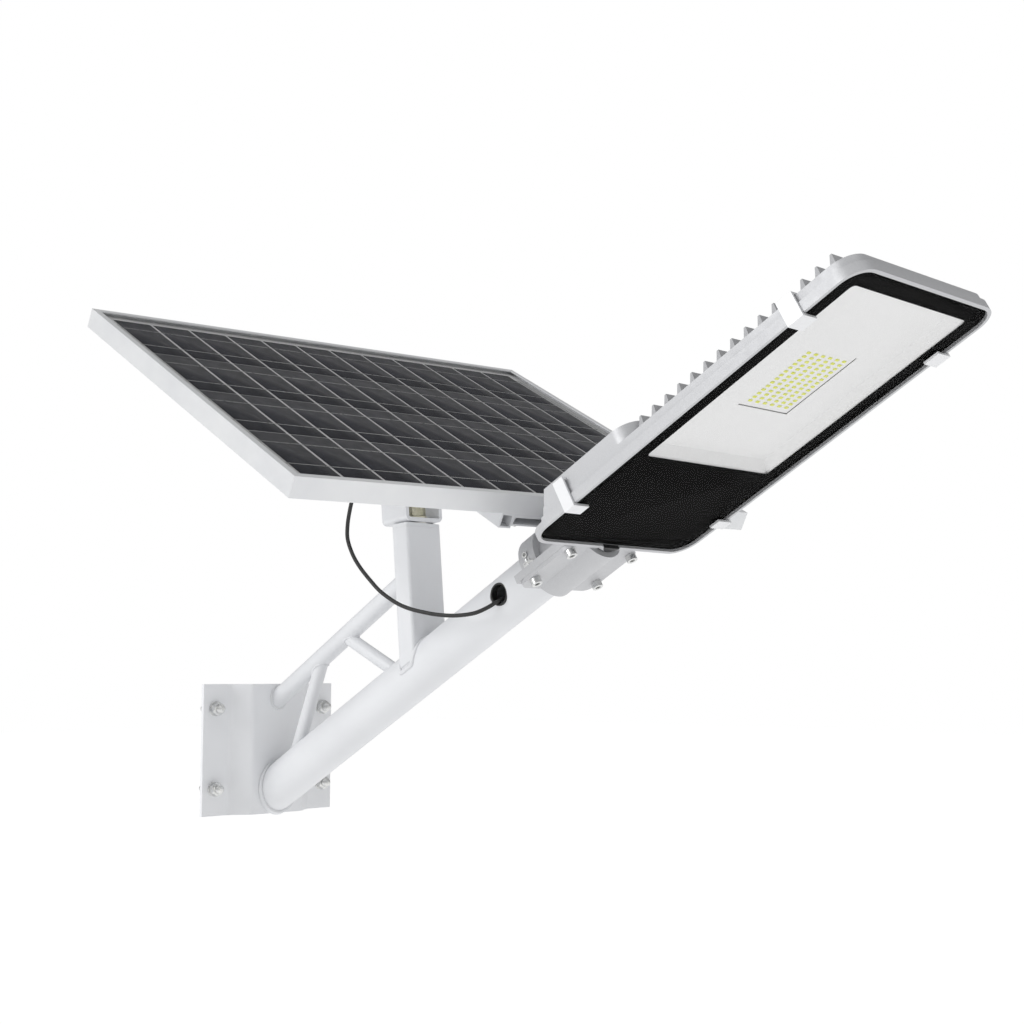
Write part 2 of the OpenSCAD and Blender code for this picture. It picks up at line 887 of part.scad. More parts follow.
module reflector_tray() {
    low = ledge_n;
    high = body_top - wall_t - 1.8;
    slope = 20;
    inner_top = [window[0] - slope, window[1] - slope];
    color("white") on_arm_head() difference() {
        union() {
            taper(window + [4, 4], inner_top + [2, 2], low, high);
            translate([window_mid, 0, low - 0.6]) linear_extrude(0.8)
                square(window + [12, 14], center = true);
        }
        taper(window + [2, 2], inner_top, low - 0.7, high - 1);
        translate([led_mid - 51, -45, high - 3]) cube([102, 90, 6]);
    }
}

module led_board() {
    color("white") on_arm_head()
        translate([led_mid - led_board[0] / 2, -led_board[1] / 2, body_top - wall_t - led_board[2]])
            cube(led_board);
}

module led_chips() {
    color("khaki") on_arm_head() for (i = [0:led_rows - 1], j = [0:led_cols - 1])
        translate([led_mid + (i - (led_rows - 1) / 2) * led_pitch[0] - led_size[0] / 2,
            (j - (led_cols - 1) / 2) * led_pitch[1] - led_size[1] / 2,
            body_top - wall_t - led_board[2] - led_size[2]])
            cube(led_size);
}

module battery_cells() {
    r = 9.2;
    color("royalblue") on_arm_head() for (i = [0:5], j = [0:2])
        translate([760 + 19.2 * i, -58 + 66 * j, -9]) rotate([90, 0, 0]) cylinder(r = r, h = 65);
}

module battery_tray() {
    color("white") on_arm_head() translate([748, -124, -20.6]) cube([122, 200, 2]);
}

module charge_controller() {
    color("darkgreen") on_arm_head() translate([752, 82, -18]) cube([100, 38, 16]);
}

// Section of a clip: a foot under the glass, a strap and a tongue on the housing
function clip_profile(reach, head) = [
    [clip_out - clip_foot, clip_n - clip_sheet], [clip_out + clip_sheet, clip_n - clip_sheet],
    [clip_out + clip_sheet, head + clip_sheet], [clip_out - reach, head + clip_sheet],
    [clip_out - reach, head], [clip_out, head], [clip_out, clip_n], [clip_out - clip_foot, clip_n]
];

// Places the front clips' screws on the housing's top
module at_clip_screws() {
    for (side = [-1, 1]) translate([clip_t[1], side * (clip_out - 9), body_top]) children();
}

// Slots in the housing's sides that the rear clips hook into
module clip_slots() {
    w = clip_w[0] + 2 * clip_slot_gap;
    for (side = [-1, 1]) mirror([0, side < 0 ? 1 : 0, 0])
        translate([clip_t[0] - w / 2, clip_out - clip_hook - clip_slot_gap,
            clip_rear_head - clip_slot_gap])
            cube([w, clip_hook + 2, clip_sheet + 2 * clip_slot_gap]);
}

module side_clips() {
    color("lightgray") on_arm_head() difference() {
        for (side = [-1, 1], i = [0, 1]) mirror([0, side < 0 ? 1 : 0, 0])
            translate([clip_t[i] - clip_w[i] / 2, 0, 0]) rotate([90, 0, 90])
                linear_extrude(clip_w[i]) polygon(i == 0 ? clip_profile(clip_hook, clip_rear_head)
                    : clip_profile(18, body_top + 0.2));
        at_clip_screws() cylinder(r = 2.5 + eps, h = 20);
    }
}

module clip_screws() {
    color("silver") on_arm_head()
        for (side = [-1, 1]) translate([clip_t[1], side * (clip_out - 9), body_top + clip_sheet + 0.2])
            clip_screw();
}

module clip_screw() {
    cylinder(r = 4.5, h = 3);
    translate([0, 0, -9]) cylinder(r = 2.5, h = 10);
}

module rear_plug() {
    color("black") on_arm_head() difference() {
        translate([714, 0, glass_n - 1.5]) cylinder(r = 15, h = 5);
        translate([glass_near - 0.3, -50, glass_n - 10]) cube([60, 100, 20]);
    }
}

wall_plate();
wall_studs();
wall_washers();
wall_nuts();
arm_tube();
arm_weld();
post_tube();
brace_tube();
upper_strut();
lower_strut();
post_cap();
swivel_pad();
swivel_bolt();
swivel_washer();
swivel_nut();
hole_grommet();
cable();
saddle_yoke();
pivot_bolt();
pivot_washers();
pivot_nut();
connector_plug();
connector_socket();
panel_lead();
pivot_lugs();
pivot_spacer();
panel_rail();
rail_end_channels();
rail_bolts();
frame_low();
frame_high();
frame_left();
frame_right();
corner_keys();
panel_glass();
solar_cells();
panel_backsheet();
junction_box();
junction_lid();
cable_gland();
head_housing();
clamp_cover();
clamp_bolts();
clamp_nuts();
set_screws();
front_glass();
glass_mask();
glass_gasket();
reflector_tray();
led_board();
led_chips();
battery_cells();
battery_tray();
charge_controller();
side_clips();
clip_screws();
rear_plug();
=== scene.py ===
"""Looks for the solar street lamp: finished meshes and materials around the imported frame.

Lengths inside this script are millimetres until they reach Blender, which is in metres.
"""

import json
import math

import bmesh
import bpy
from mathutils import Matrix, Vector


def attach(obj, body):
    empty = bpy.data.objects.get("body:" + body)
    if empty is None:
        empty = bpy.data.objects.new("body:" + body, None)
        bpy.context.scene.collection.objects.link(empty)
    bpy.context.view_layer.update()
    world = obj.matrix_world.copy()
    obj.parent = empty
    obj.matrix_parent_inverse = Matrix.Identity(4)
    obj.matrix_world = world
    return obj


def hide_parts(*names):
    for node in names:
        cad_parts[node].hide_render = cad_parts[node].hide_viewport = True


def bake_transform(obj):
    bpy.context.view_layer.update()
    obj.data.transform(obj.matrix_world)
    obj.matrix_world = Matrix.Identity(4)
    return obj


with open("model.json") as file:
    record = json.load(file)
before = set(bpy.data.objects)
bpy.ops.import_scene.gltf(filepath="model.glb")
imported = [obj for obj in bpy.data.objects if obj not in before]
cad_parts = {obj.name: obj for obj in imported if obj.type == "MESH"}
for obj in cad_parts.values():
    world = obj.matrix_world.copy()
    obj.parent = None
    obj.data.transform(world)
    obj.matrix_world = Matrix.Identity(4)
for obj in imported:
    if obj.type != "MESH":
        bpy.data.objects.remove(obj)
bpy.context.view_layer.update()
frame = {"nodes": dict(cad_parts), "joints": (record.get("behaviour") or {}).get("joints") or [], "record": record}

MM = 0.001
RECORD = frame["record"]
JOINTS = {joint["name"]: joint for joint in frame["joints"]}
BODY_OF = {node: body for body, nodes in RECORD["behaviour"]["bodies"].items() for node in nodes}
SLOT_OF = {part["node"]: part["material_slot"] for part in RECORD["subparts"]}


# ---------- local frames, from the joints ----------

def local_frame(origin, x_axis, y_axis):
    """A frame at origin whose X and Y are the given directions."""
    x_axis = x_axis.normalized()
    y_axis = y_axis.normalized()
    z_axis = x_axis.cross(y_axis).normalized()
    turn = Matrix((x_axis, y_axis, z_axis)).transposed().to_4x4()
    return Matrix.Translation(origin) @ turn


PANEL_TILT = 33.5
WORLD = Matrix.Identity(4)
ALONG_Y = Vector((0, 1, 0))
arm_axis = Vector(JOINTS["head_roll"]["axis"])
post_axis = Vector(JOINTS["panel_swivel"]["axis"])
pivot_axis = Vector(JOINTS["panel_tilt"]["axis"])
post_top = Vector(JOINTS["panel_swivel"]["pos_m"])
pivot = Vector(JOINTS["panel_tilt"]["pos_m"])

ARM = local_frame(Vector(JOINTS["head_roll"]["pos_m"]), arm_axis, ALONG_Y)
POST = local_frame(post_top, ALONG_Y.cross(post_axis), ALONG_Y)
SADDLE = local_frame(post_top, pivot_axis.cross(post_axis), pivot_axis)
PANEL = (local_frame(pivot, pivot_axis.cross(post_axis), pivot_axis)
         @ Matrix.Rotation(math.radians(PANEL_TILT), 4, "Y"))


# ---------- camera, floor and light ----------

# Where the camera stands, in metres, and which way it looks, in degrees
CAMERA_PLACE = Vector((1.8163, -1.4069, 0.1076))
CAMERA_HEADING = math.radians(46.38)
CAMERA_PITCH = math.radians(5.61)
CAMERA_LENS = 56.33
SENSOR_WIDTH = 36
CLIP_END = 60


def add_camera():
    level = math.cos(CAMERA_PITCH)
    forward = Vector((-math.cos(CAMERA_HEADING) * level,
                      math.sin(CAMERA_HEADING) * level, math.sin(CAMERA_PITCH)))
    data = bpy.data.cameras.new("camera")
    data.lens = CAMERA_LENS
    data.sensor_width = SENSOR_WIDTH
    data.clip_end = CLIP_END
    camera = bpy.data.objects.new("camera", data)
    camera.matrix_world = (Matrix.Translation(CAMERA_PLACE)
                           @ forward.to_track_quat("-Z", "Y").to_matrix().to_4x4())
    bpy.context.scene.collection.objects.link(camera)
    bpy.context.scene.camera = camera


# How strongly the floor shines, so that it looks white and lights the lamp from below
FLOOR_GLOW = 0.40


def add_floor():
    """A plain white floor, well below the lamp, which hangs on a wall."""
    half = 30
    depth = -1.25
    mesh = bpy.data.meshes.new("floor")
    corners = [(-half, -half, depth), (half, -half, depth), (half, half, depth), (-half, half, depth)]
    mesh.from_pydata(corners, [], [(0, 1, 2, 3)])
    floor = bpy.data.objects.new("floor", mesh)
    bpy.context.scene.collection.objects.link(floor)
    material = bpy.data.materials.new("floor")
    material.use_nodes = True
    surface = material.node_tree.nodes["Principled BSDF"]
    surface.inputs["Base Color"].default_value = (0.95, 0.95, 0.95, 1)
    surface.inputs["Roughness"].default_value = 0.9
    surface.inputs["Emission Color"].default_value = (1, 1, 1, 1)
    surface.inputs["Emission Strength"].default_value = FLOOR_GLOW
    mesh.materials.append(material)


def add_world(seen=1.0, cast=0.36):
    """A white surround: seen is what the camera sees, cast is the light that it gives."""
    world = bpy.data.worlds.new("surround")
    world.use_nodes = True
    tree = world.node_tree
    tree.nodes.clear()
    out = tree.nodes.new("ShaderNodeOutputWorld")
    mix = tree.nodes.new("ShaderNodeMixShader")
    path = tree.nodes.new("ShaderNodeLightPath")
    tree.links.new(path.outputs["Is Camera Ray"], mix.inputs["Fac"])
    for socket, strength in ((1, cast), (2, seen)):
        light = tree.nodes.new("ShaderNodeBackground")
        light.inputs["Color"].default_value = (1, 1, 1, 1)
        light.inputs["Strength"].default_value = strength
        tree.links.new(light.outputs["Background"], mix.inputs[socket])
    tree.links.new(mix.outputs["Shader"], out.inputs["Surface"])
    bpy.context.scene.world = world


def add_sun(name, towards, strength, softness):
    data = bpy.data.lights.new(name, "SUN")
    data.energy = strength
    data.angle = math.radians(softness)
    lamp = bpy.data.objects.new(name, data)
    lamp.rotation_euler = Vector(towards).to_track_quat("Z", "Y").to_euler()
    bpy.context.scene.collection.objects.link(lamp)


add_camera()
add_floor()
add_world()
add_sun("key", (-0.35, -0.85, 0.40), 1.50, 35)
add_sun("top", (0.30, 0.00, 1.00), 0.35, 50)
add_sun("fill", (0.85, -0.45, 0.25), 0.12, 60)
bpy.context.scene.view_settings.view_transform = "Standard"


# ---------- node helpers for materials ----------

class Paint:
    """A procedural material under construction, in the piece's own coordinates."""

    def __init__(self, name, rough=0.5, metal=0.0):
        self.material = bpy.data.materials.new(name)
        self.material.use_nodes = True
        self.tree = self.material.node_tree
        self.surface = self.tree.nodes["Principled BSDF"]
        self.surface.inputs["Roughness"].default_value = rough
        self.surface.inputs["Metallic"].default_value = metal
        self.place = self.add("ShaderNodeTexCoord").outputs["Object"]
        self.height = None

    def add(self, kind):
        return self.tree.nodes.new(kind)

    def link(self, source, target):
        self.tree.links.new(source, target)

    def stretched(self, scale):
        """The piece's coordinates scaled by a different amount along each axis."""
        node = self.add("ShaderNodeMapping")
        node.inputs["Scale"].default_value = scale
        self.link(self.place, node.inputs["Vector"])
        return node.outputs["Vector"]

    def noise(self, grain_mm, detail=3, stretch=(1, 1, 1)):
        """Noise whose blobs are about grain_mm across, from 0 to 1."""
        node = self.add("ShaderNodeTexNoise")
        node.inputs["Scale"].default_value = 1 / (grain_mm * MM)
        node.inputs["Detail"].default_value = detail
        self.link(self.stretched(stretch), node.inputs["Vector"])
        return node.outputs["Fac"]

    def bands(self, pitch_mm, axis):
        node = self.add("ShaderNodeTexWave")
        node.bands_direction = axis
        node.inputs["Scale"].default_value = math.pi / (10 * pitch_mm * MM)
        self.link(self.place, node.inputs["Vector"])
        return node.outputs["Fac"]

    def ramp(self, value, stops):
        node = self.add("ShaderNodeValToRGB")
        ramp = node.color_ramp
        while len(ramp.elements) < len(stops):
            ramp.elements.new(0.5)
        for element, (at, colour) in zip(ramp.elements, stops):
            element.position = at
            element.color = (*colour, 1)
        self.link(value, node.inputs["Fac"])
        return node.outputs["Color"]

    def spread(self, value, low, high):
        node = self.add("ShaderNodeMapRange")
        node.inputs["From Min"].default_value = 0.3
        node.inputs["From Max"].default_value = 0.7
        node.inputs["To Min"].default_value = low
        node.inputs["To Max"].default_value = high
        self.link(value, node.inputs["Value"])
        return node.outputs["Result"]

    def colour(self, base, other, grain_mm, detail=3, stretch=(1, 1, 1)):
        """Colour that wanders between two shades."""
        fac = self.noise(grain_mm, detail, stretch)
        self.link(self.ramp(fac, [(0.3, base), (0.7, other)]), self.surface.inputs["Base Color"])
        return self

    def polish(self, low, high, grain_mm, stretch=(1, 1, 1)):
        """Roughness that wanders between low and high."""
        fac = self.noise(grain_mm, 4, stretch)
        self.link(self.spread(fac, low, high), self.surface.inputs["Roughness"])
        return self

    def bump(self, value, depth_mm, strength=1.0):
        node = self.add("ShaderNodeBump")
        node.inputs["Distance"].default_value = depth_mm * MM
        node.inputs["Strength"].default_value = strength
        self.link(value, node.inputs["Height"])
        if self.height is not None:
            self.link(self.height, node.inputs["Normal"])
        self.height = node.outputs["Normal"]
        self.link(self.height, self.surface.inputs["Normal"])
        return self


def powder_coat(name, base, other, rough):
    """Sprayed powder: orange peel a millimetre or two across, with a finer tooth."""
    paint = Paint(name)
    paint.colour(base, other, 90)
    paint.polish(rough - 0.06, rough + 0.08, 25)
    paint.bump(paint.noise(2.2, 2), 0.05, 0.5)
    paint.bump(paint.noise(0.5, 2), 0.015, 0.4)
    return paint.material


def cast_paint(name, base, other, rough, metal):
    """Silver-grey paint over die-cast aluminium: a fine metallic fleck and a soft waviness."""
    paint = Paint(name, metal=metal)
    paint.colour(base, other, 1.1, 2)
    paint.polish(rough - 0.05, rough + 0.09, 12)
    paint.bump(paint.noise(14, 2), 0.10, 0.5)
    paint.bump(paint.noise(0.9, 3), 0.02, 0.5)
    return paint.material


def plated(name, base, other, rough):
    """Zinc-plated steel: cloudy passivation and faint turning marks."""
    paint = Paint(name, metal=1.0)
    paint.colour(base, other, 5)
    paint.polish(rough - 0.08, rough + 0.14, 3)
    paint.bump(paint.noise(0.7, 3, (1, 1, 4)), 0.01, 0.6)
    return paint.material


def extruded(name, base, other, rough):
    """Anodised aluminium extrusion, with a fine even grain."""
    paint = Paint(name, metal=0.20)
    paint.colour(base, other, 60)
    paint.polish(rough - 0.05, rough + 0.07, 8)
    paint.bump(paint.noise(0.8, 2), 0.01, 0.5)
    return paint.material


def moulded(name, base, other, rough):
    """Moulded plastic or rubber with a fine spark-eroded grain."""
    paint = Paint(name)
    paint.colour(base, other, 4)
    paint.polish(rough - 0.07, rough + 0.07, 6)
    paint.bump(paint.noise(0.8, 3), 0.03, 0.6)
    return paint.material


def clear_glass(name, tint, opacity, shine):
    """Thin clear glass: it lets nearly all light through and keeps a soft reflection."""
    paint = Paint(name, rough=0.04)
    paint.colour(tint, tuple(c * 1.2 for c in tint), 200)
    paint.polish(0.02, 0.05, 120)
    paint.surface.inputs["Alpha"].default_value = opacity
    paint.surface.inputs["Specular IOR Level"].default_value = shine
    return paint.material


def printed_ink(name, base, other, rough):
    """Screen-printed ceramic ink on the back of the glass: flat, even and dull."""
    paint = Paint(name)
    paint.colour(base, other, 60)
    paint.polish(rough - 0.04, rough + 0.04, 30)
    paint.surface.inputs["Specular IOR Level"].default_value = 0.0
    return paint.material


def silicon(name):
    """Dark blue cells with contact fingers and a slight shade from cell to cell."""
    paint = Paint(name)
    shade = paint.ramp(paint.noise(70, 1), [(0.3, (0.008, 0.009, 0.016)), (0.7, (0.013, 0.014, 0.024))])
    fingers = paint.ramp(paint.bands(1.8, "Y"), [(0.90, (0, 0, 0)), (1.0, (0.022, 0.022, 0.026))])
    total = paint.add("ShaderNodeMix")
    total.data_type = "RGBA"
    total.blend_type = "ADD"
    total.inputs["Factor"].default_value = 1
    paint.link(shade, total.inputs[6])
    paint.link(fingers, total.inputs[7])
    paint.link(total.outputs[2], paint.surface.inputs["Base Color"])
    paint.polish(0.28, 0.40, 20)
    paint.surface.inputs["Specular IOR Level"].default_value = 0.30
    return paint.material


def board(name, base, other):
    """Coated circuit board."""
    paint = Paint(name)
    paint.colour(base, other, 8)
    paint.polish(0.30, 0.45, 10)
    paint.bump(paint.noise(1.5, 2), 0.02, 0.5)
    return paint.material


MATERIALS = {
    # plate_paint is the same white powder coat as bracket_paint, made lighter: the lighter tone is painted light,
    # standing for the stronger light that falls on the plate's web
    "plate_paint": powder_coat("plate_paint", (0.80, 0.81, 0.83), (0.84, 0.85, 0.87), 0.42),
    "bracket_paint": powder_coat("bracket_paint", (0.70, 0.71, 0.73), (0.74, 0.75, 0.77), 0.40),
    "zinc": plated("zinc", (0.62, 0.63, 0.64), (0.80, 0.80, 0.78), 0.30),
    "yellow_zinc": plated("yellow_zinc", (0.50, 0.48, 0.34), (0.66, 0.63, 0.50), 0.32),
    "nylon": moulded("nylon", (0.78, 0.77, 0.72), (0.84, 0.83, 0.78), 0.50),
    "black_rubber": moulded("black_rubber", (0.012, 0.012, 0.012), (0.020, 0.020, 0.020), 0.50),
    "black_plastic": moulded("black_plastic", (0.014, 0.014, 0.015), (0.022, 0.022, 0.024), 0.42),
    "frame_aluminium": extruded("frame_aluminium", (0.76, 0.77, 0.79), (0.82, 0.83, 0.84), 0.34),
    "solar_glass": clear_glass("solar_glass", (0.02, 0.022, 0.028), 0.12, 0.35),
    "silicon": silicon("silicon"),
    "backsheet": moulded("backsheet", (0.92, 0.92, 0.92), (0.95, 0.95, 0.95), 0.45),
    "head_paint": cast_paint("head_paint", (0.50, 0.505, 0.52), (0.55, 0.555, 0.57), 0.40, 0.20),
    "lamp_glass": clear_glass("lamp_glass", (0.02, 0.022, 0.023), 0.05, 0.12),
    "mask_ink": printed_ink("mask_ink", (0.0125, 0.0125, 0.0125), (0.0135, 0.0135, 0.0135), 0.8),
    "gasket_rubber": moulded("gasket_rubber", (0.20, 0.20, 0.20), (0.26, 0.26, 0.26), 0.60),
    "reflector_white": moulded("reflector_white", (0.93, 0.93, 0.93), (0.96, 0.96, 0.96), 0.45),
    "led_phosphor": moulded("led_phosphor", (0.80, 0.84, 0.10), (0.87, 0.90, 0.18), 0.35),
    "cell_wrap": moulded("cell_wrap", (0.03, 0.16, 0.42), (0.05, 0.20, 0.48), 0.30),
    "tray_plastic": moulded("tray_plastic", (0.74, 0.74, 0.72), (0.80, 0.80, 0.78), 0.50),
    "board_green": board("board_green", (0.012, 0.10, 0.04), (0.02, 0.14, 0.06)),
    "clip_steel": extruded("clip_steel", (0.78, 0.785, 0.80), (0.82, 0.825, 0.84), 0.40),
}


# ---------- mesh helpers ----------

def add_piece(name, bm, local, body, slot_name, replaced=(), sharp=32, crease=True):
    """Turns a bmesh in local millimetres into a piece; body is None for one that is attached to no body."""
    mesh = bpy.data.meshes.new(name)
    bmesh.ops.recalc_face_normals(bm, faces=bm.faces)
    bmesh.ops.scale(bm, vec=(MM, MM, MM), verts=bm.verts)
    for face in bm.faces:
        face.smooth = True
    bm.to_mesh(mesh)
    bm.free()
    if crease:
        mesh.set_sharp_from_angle(angle=math.radians(sharp))
    mesh.materials.append(MATERIALS[slot_name])
    piece = bpy.data.objects.new(name, mesh)
    piece.matrix_world = local
    bpy.context.scene.collection.objects.link(piece)
    if replaced:
        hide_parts(*replaced)
    if body:
        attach(piece, body)
    return piece


def cad_bmesh(node, local):
    """A welded copy of a CAD node's surface in local millimetres, with flat faces whole."""
    source = frame["nodes"][node].data
    to_local = Matrix.Scale(1 / MM, 4) @ local.inverted()
    bm = bmesh.new()
    points = [bm.verts.new(to_local @ vertex.co) for vertex in source.vertices]
    for polygon in source.polygons:
        corners = [points[i] for i in polygon.vertices]
        if len(set(corners)) == len(corners) and bm.faces.get(corners) is None:
            bm.faces.new(corners)
    bmesh.ops.remove_doubles(bm, verts=bm.verts, dist=0.002)
    bmesh.ops.dissolve_degenerate(bm, edges=bm.edges, dist=0.002)
    bmesh.ops.dissolve_limit(bm, angle_limit=math.radians(0.4), verts=bm.verts, edges=bm.edges)
    return bm


def ease_edges(piece, width, segments, angle):
    """Rounds a piece's hard edges by width, and shades its flat faces flat."""
    bevel = piece.modifiers.new("ease", "BEVEL")
    bevel.width = width * MM
    bevel.segments = segments
    bevel.limit_method = "ANGLE"
    bevel.angle_limit = math.radians(angle)
    bevel.use_clamp_overlap = True
    bevel.miter_outer = "MITER_ARC"
    normals = piece.modifiers.new("shade", "WEIGHTED_NORMAL")
    normals.keep_sharp = False


def finish_node(node, width=0.4, local=WORLD, segments=2, angle=34, slot_name=None):
    """A copy of a CAD node with its edges eased, which stands for that node."""
    bm = cad_bmesh(node, local)
    piece = add_piece(node + "_skin", bm, local, BODY_OF[node], slot_name or SLOT_OF[node],
                      [node], crease=False)
    if width:
        ease_edges(piece, width, segments, angle)
    return piece


def ring_about(centre, along, radius, sides, side_hint=Vector((-0.9, 1.0, 0.3))):
    side = along.cross(side_hint).normalized()
    up = side.cross(along).normalized()
    turns = [2 * math.pi * k / sides for k in range(sides)]
    return [centre + radius * (math.cos(a) * side + math.sin(a) * up) for a in turns]


def sweep(points, radius_at, sides, closed=False):
    """A tube along points. radius_at gives the radius at each point's number."""
    bm = bmesh.new()
    count = len(points)
    rings = []
    for i, point in enumerate(points):
        after = points[(i + 1) % count] if closed else points[min(i + 1, count - 1)]
        before = points[i - 1] if closed else points[max(i - 1, 0)]
        along = (after - before).normalized()
        rings.append([bm.verts.new(p) for p in ring_about(point, along, radius_at(i), sides)])
    for i in range(count if closed else count - 1):
        a = rings[i]
        b = rings[(i + 1) % count]
        for k in range(sides):
            n = (k + 1) % sides
            bm.faces.new((a[k], a[n], b[n], b[k]))
    if not closed:
        bm.faces.new(rings[0][::-1])
        bm.faces.new(rings[-1])
    return bm


def lathe(profile, sides=48):
    """A solid of revolution about Z from (radius, height) points, closed at both ends."""
    bm = bmesh.new()
    rings = []
    for radius, height in profile:
        turns = [2 * math.pi * k / sides for k in range(sides)]
        rings.append([bm.verts.new((radius * math.cos(a), radius * math.sin(a), height)) for a in turns])
    for low, high in zip(rings, rings[1:]):
        for k in range(sides):
            n = (k + 1) % sides
            bm.faces.new((low[k], low[n], high[n], high[k]))
    bm.faces.new(rings[0][::-1])
    bm.faces.new(rings[-1])
    return bm


def smooth_path(points, steps):
    """A Catmull-Rom curve through points, with steps pieces between each two."""
    ends = [2 * points[0] - points[1]] + list(points) + [2 * points[-1] - points[-2]]
    path = []
    for a, b, c, d in zip(ends, ends[1:], ends[2:], ends[3:]):
        for k in range(steps):
            t = k / steps
            path.append(0.5 * (2 * b + (c - a) * t + (2 * a - 5 * b + 4 * c - d) * t * t
                               + (3 * b - a - 3 * c + d) * t ** 3))
    return path + [points[-1]]


# ---------- cables ----------

CABLE_RADIUS = 2.5
CABLE_SIDES = 16
CABLE_ROUTE = [
    (307, -107, 333), (303, -107, 320), (297, -106, 305), (292, -105, 288),
    (291, -104, 270), (298, -102, 251), (308, -99, 235), (322, -94, 218),
    (340, -89, 201), (366, -80, 185), (398, -70, 176), (430, -60, 172),
    (458, -50, 174), (473, -40, 181), (480, -31, 188), (483, -22, 192), (484, -12, 194),
]
LEAD_ROUTE = [
    (323.5, -107, 386.5), (325.5, -107, 395), (326, -108, 404), (321, -108, 413),
    (314, -108, 418), (307, -107, 421),
]
CONNECTOR_AT = Vector((308.4, -107, 337.4))
CONNECTOR_LEAN = math.radians(17)
CONNECTOR = Matrix.Translation(CONNECTOR_AT * MM) @ Matrix.Rotation(CONNECTOR_LEAN, 4, "Y")


def add_cable(name, route, node):
    """A round cable along a route, which is attached to no body."""
    path = smooth_path([Vector(point) for point in route], 6)
    bm = sweep(path, lambda i: CABLE_RADIUS, CABLE_SIDES)
    piece = add_piece(name, bm, WORLD, None, "black_rubber", [node])
    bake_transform(piece)
    return piece


def ribbed(profile, low, high, radius, depth, count):
    """Adds count grooves of a depth between low and high to a turned profile."""
    pitch = (high - low) / count
    for i in range(count):
        base = low + i * pitch
        profile += [(radius, base), (radius, base + 0.55 * pitch),
                    (radius - depth, base + 0.65 * pitch), (radius - depth, base + 0.9 * pitch)]
    return profile + [(radius, high)]


def add_connectors():
    """The two halves of the in-line connector: a grooved nut on each, and a tapered tail."""
    plug = [(2.7, -4.5), (3.4, -4.2), (4.4, 1), (5.9, 5.5), (6.0, 7.5), (7.9, 8.2)]
    plug = ribbed(plug, 9, 22, 8.5, 0.6, 6) + [(8.3, 24), (7.6, 26)]
    low = add_piece("connector_plug_skin", lathe(plug), CONNECTOR, "saddle", "black_plastic",
                    ["connector_plug"])
    socket = [(7.6, 26), (9.2, 26.5)]
    socket = ribbed(socket, 28, 38, 9.5, 0.6, 5) + [(9.0, 40), (6.2, 41), (6.0, 44), (3.6, 50)]
    socket += [(3.0, 54.3), (2.7, 54.6)]
    high = add_piece("connector_socket_skin", lathe(socket), CONNECTOR, "saddle", "black_plastic",
                     ["connector_socket"])
    return low, high


connector_low, connector_high = add_connectors()
add_cable("arm_cable", CABLE_ROUTE, "cable")
add_cable("lead_cable", LEAD_ROUTE, "panel_lead")


# ---------- welds ----------

BEAD_STEPS = 96
BEAD_SPACING = 2.5


def meet_cylinder(point, along, centre, axis, radius):
    """The distance along a line to its first meeting with a cylinder."""
    flat = along - along.dot(axis) * axis
    gap = point - centre
    gap = gap - gap.dot(axis) * axis
    a = flat.dot(flat)
    b = 2 * flat.dot(gap)
    c = gap.dot(gap) - radius * radius
    return (-b - math.sqrt(max(b * b - 4 * a * c, 0))) / (2 * a)


def round_outline(radius):
    """Offsets round a circle."""
    turns = [2 * math.pi * k / BEAD_STEPS for k in range(BEAD_STEPS)]
    return [(radius * math.cos(turn), radius * math.sin(turn)) for turn in turns]


def boxed_outline(half_u, half_v, corner):
    """Offsets round a rectangle with rounded corners."""
    steps = BEAD_STEPS // 16
    outline = []
    for quarter, (u, v) in enumerate(((1, 1), (-1, 1), (-1, -1), (1, -1))):
        centre = (u * (half_u - corner), v * (half_v - corner))
        for k in range(steps + 1):
            turn = (quarter + k / steps) * math.pi / 2
            outline.append((centre[0] + corner * math.cos(turn), centre[1] + corner * math.sin(turn)))
    spaced = []
    for a, b in zip(outline, outline[1:] + outline[:1]):
        pieces = max(1, round(math.dist(a, b) / BEAD_SPACING))
        spaced += [(a[0] + (b[0] - a[0]) * i / pieces, a[1] + (b[1] - a[1]) * i / pieces)
                   for i in range(pieces)]
    return spaced


def bead_path(start, along, outline, reach):
    """Points round a tube's outline where reach says that it meets the other piece."""
    along = along.normalized()
    side = along.cross(ALONG_Y).normalized()
    up = side.cross(along)
    points = [start + u * side + v * up for u, v in outline]
    return [point + reach(point, along) * along for point in points]


def add_bead(name, path, width):
    """A closed weld bead whose ripples follow one another round the joint."""
    bm = sweep(path, lambda i: width * (1 + 0.09 * math.sin(i * 2 * math.pi / 3)), 10, closed=True)
    return add_piece(name, bm, WORLD, "bracket", "bracket_paint", sharp=80)


def in_plane(x, z):
    return Vector((x, 0, z))


POST_BEAD = 2.8
BRACE_BEAD = 2.0
FOOT_BEAD = 2.4
STRUT_BEAD = 1.6
ARM_RADIUS = 30
POST_HALF = (15, 30)
POST_CORNER = 5
BRACE_RADIUS = 12.5
STRUT_RADIUS = 9
WEB_X = 25
arm_foot = Vector(JOINTS["head_roll"]["pos_m"]) / MM
post_head = post_top / MM
brace_low = in_plane(WEB_X, 68)
brace_high = in_plane(301, 230.5)
brace_along = (brace_high - brace_low).normalized()


def to_arm(point, along):
    return meet_cylinder(point, along, arm_foot, arm_axis.normalized(), ARM_RADIUS)


def to_post(point, along):
    out = POST.to_3x3() @ Vector((-1, 0, 0))
    face = post_head + POST_HALF[0] * out
    return (face - point).dot(out) / along.dot(out)


def to_brace(point, along):
    return meet_cylinder(point, along, brace_low, brace_along, BRACE_RADIUS)


def to_web(point, along):
    return (WEB_X - point.x) / along.x


